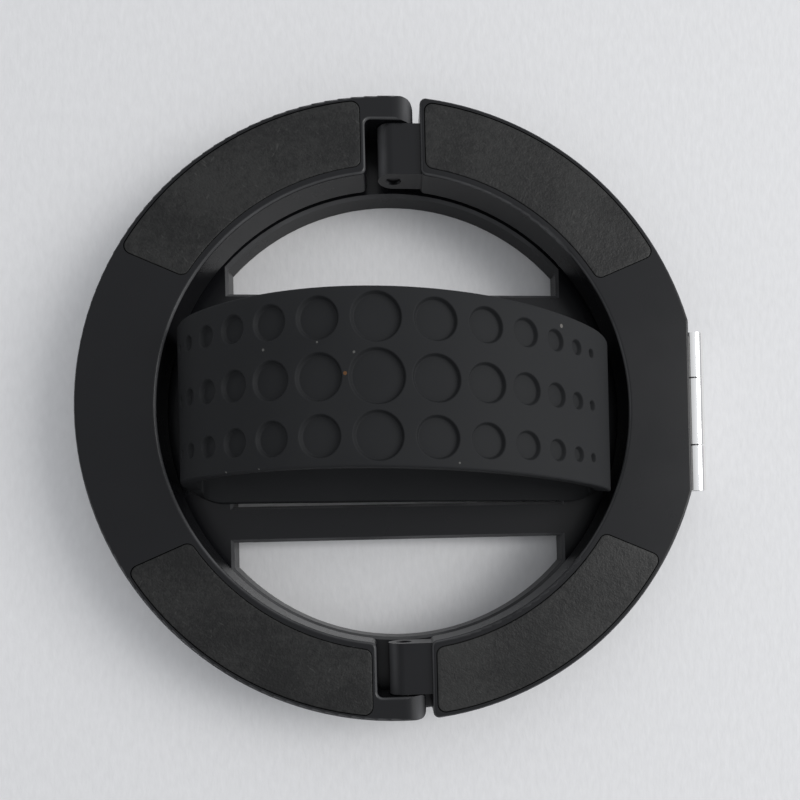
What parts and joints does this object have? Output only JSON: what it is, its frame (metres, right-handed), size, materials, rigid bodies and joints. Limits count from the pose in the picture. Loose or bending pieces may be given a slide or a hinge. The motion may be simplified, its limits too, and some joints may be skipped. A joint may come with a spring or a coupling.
{
  "type": "phone ring holder",
  "caption": "Round magnetic phone grip: a base ring with an arched dimpled finger strap, and a split folding upper ring that lifts on a side hinge as a stand.",
  "frame": {"origin": "centre of the round face that lies on the phone, in the plane of its soft face pad", "axes": "+Z away from the phone, +X toward the lift hinge, +Y along the fold between the upper ring's halves"},
  "size_m": [0.0641, 0.062, 0.0201],
  "materials": {
    "black_metal": "satin",
    "grained_pad": "matte",
    "silicone": "matte",
    "soft_face": "matte",
    "polished_steel": "polished",
    "steel": "satin",
    "magnet": "satin"
  },
  "bodies": {
    "base": {"base_frame": "black_metal", "base_magnets": "magnet", "face_pad": "soft_face", "finger_strap": "silicone", "base_hinge_leaf": "polished_steel", "hinge_pin": "polished_steel", "base_leaf_screws": "steel"},
    "right_half": {"right_half_frame": "black_metal", "upper_right_pad": "grained_pad", "upper_right_magnets": "magnet", "lower_right_pad": "grained_pad", "lower_right_magnets": "magnet", "ring_hinge_leaf": "polished_steel", "ring_leaf_screws": "steel"},
    "left_half": {"left_half_frame": "black_metal", "upper_left_pad": "grained_pad", "upper_left_magnets": "magnet", "lower_left_pad": "grained_pad", "lower_left_magnets": "magnet", "upper_fold_pin": "steel", "lower_fold_pin": "steel"}
  },
  "joints": [
    {"name": "ring_lift", "type": "hinge", "parent": "base", "child": "right_half", "pos_m": [0.03185, 0, 0.0033], "axis": [0, 1, 0], "range_deg": [0, 150]},
    {"name": "ring_fold", "type": "hinge", "parent": "right_half", "child": "left_half", "pos_m": [0, 0, 0.0059], "axis": [0, 1, 0], "range_deg": [0, 100]}
  ]
}
